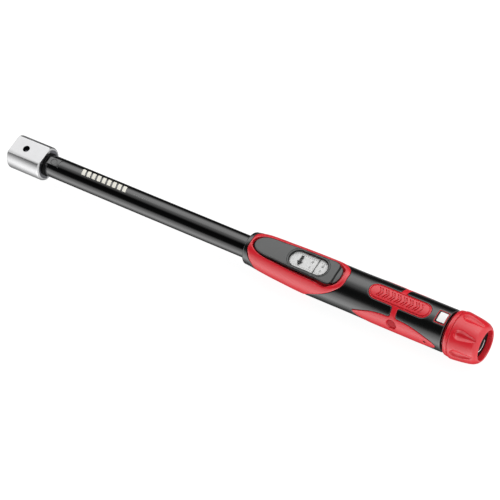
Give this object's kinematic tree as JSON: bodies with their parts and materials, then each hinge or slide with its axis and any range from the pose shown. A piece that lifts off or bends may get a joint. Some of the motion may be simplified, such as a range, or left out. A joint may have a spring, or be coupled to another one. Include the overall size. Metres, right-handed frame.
{
  "type": "click torque wrench",
  "caption": "Click-type torque wrench with a rectangular socket head for insert tools, a steel tube, a gripped handle with a scale window, and a rear adjusting knob.",
  "frame": {"origin": "centre of the floor of the insert socket in the head, on the axis of the tube", "axes": "+X along the tube from the head to the knob, +Y across the wrench in its swing plane, +Z out of the scale window and square to the flats of the head"},
  "size_m": [0.4794, 0.0408, 0.0408],
  "materials": {
    "head": "satin nickel-plated",
    "tube": "semi-gloss black",
    "pivot_pin": "blackened",
    "dust_seal": "matte",
    "main_spring": "oiled",
    "thrust_washer_front": "ground",
    "thrust_ball_cage": "plain",
    "thrust_washer_rear": "ground",
    "end_bush": "turned",
    "retaining_ring": "phosphated",
    "handle_core": "satin red",
    "core_set_screw": "blackened",
    "front_collar": "matte",
    "grip_sleeve": "matte soft grip",
    "label_plate": "printed",
    "bezel": "fine grain",
    "lens_gasket": "matte",
    "window_lens": "clear",
    "lock_ring": "blackened",
    "click_strut": "hardened, ground",
    "plunger": "ground",
    "load_nut": "phosphated",
    "spring_seat": "turned",
    "scale_arm": "stamped",
    "scale_plate": "printed",
    "adjusting_screw": "turned",
    "stop_washer": "plated",
    "stop_screw": "blackened",
    "knob": "satin red",
    "knob_cap": "matte",
    "knob_hub": "turned",
    "knob_o_ring": "matte"
  },
  "bodies": {
    "housing": {"tube": "tube", "pivot_pin": "pivot_pin", "dust_seal": "dust_seal", "main_spring": "main_spring", "thrust_washer_front": "thrust_washer_front", "thrust_ball_cage": "thrust_ball_cage", "thrust_washer_rear": "thrust_washer_rear", "end_bush": "end_bush", "retaining_ring": "retaining_ring", "handle_core": "handle_core", "core_set_screw": "core_set_screw", "front_collar": "front_collar", "grip_sleeve": "grip_sleeve", "label_plate": "label_plate", "bezel": "bezel", "lens_gasket": "lens_gasket", "window_lens": "window_lens", "lock_ring": "lock_ring"},
    "head": {"head": "head"},
    "strut": {"click_strut": "click_strut"},
    "plunger": {"plunger": "plunger"},
    "nut": {"load_nut": "load_nut", "spring_seat": "spring_seat", "scale_arm": "scale_arm", "scale_plate": "scale_plate"},
    "screw": {"adjusting_screw": "adjusting_screw", "stop_washer": "stop_washer", "stop_screw": "stop_screw"},
    "knob": {"knob": "knob", "knob_cap": "knob_cap", "knob_hub": "knob_hub", "knob_o_ring": "knob_o_ring"}
  },
  "joints": [
    {"name": "head_pivot", "type": "hinge", "parent": "housing", "child": "head", "pos_m": [0.0175, 0, 0], "axis": [0, 0, 1], "range_deg": [0, 2.5], "stiffness_Nm_per_rad": 20, "springref_deg": -1.15},
    {"name": "plunger_slide", "type": "slide", "parent": "housing", "child": "plunger", "axis": [1, 0, 0], "range_m": [-0.0006, 0]},
    {"name": "strut_tilt", "type": "hinge", "parent": "plunger", "child": "strut", "pos_m": [0.0923, 0, 0], "axis": [0, 0, 1], "range_deg": [-22, 0]},
    {"name": "torque_adjust", "type": "hinge", "parent": "housing", "child": "screw", "pos_m": [0.4, 0, 0], "axis": [1, 0, 0], "range_deg": [-1080, 900]},
    {"name": "nut_slide", "type": "slide", "parent": "housing", "child": "nut", "axis": [1, 0, 0], "range_m": [-0.0061, 0.0051], "deforming": ["main_spring"]},
    {"name": "knob_pull", "type": "slide", "parent": "screw", "child": "knob", "axis": [1, 0, 0], "range_m": [0, 0.005]}
  ],
  "couplings": [
    {"joint": "strut_tilt", "follows": "head_pivot", "ratio": -8.35},
    {"joint": "plunger_slide", "follows": "head_pivot", "m_per_rad": -0.0115},
    {"joint": "nut_slide", "follows": "torque_adjust", "m_per_rad": 0.00031831}
  ]
}
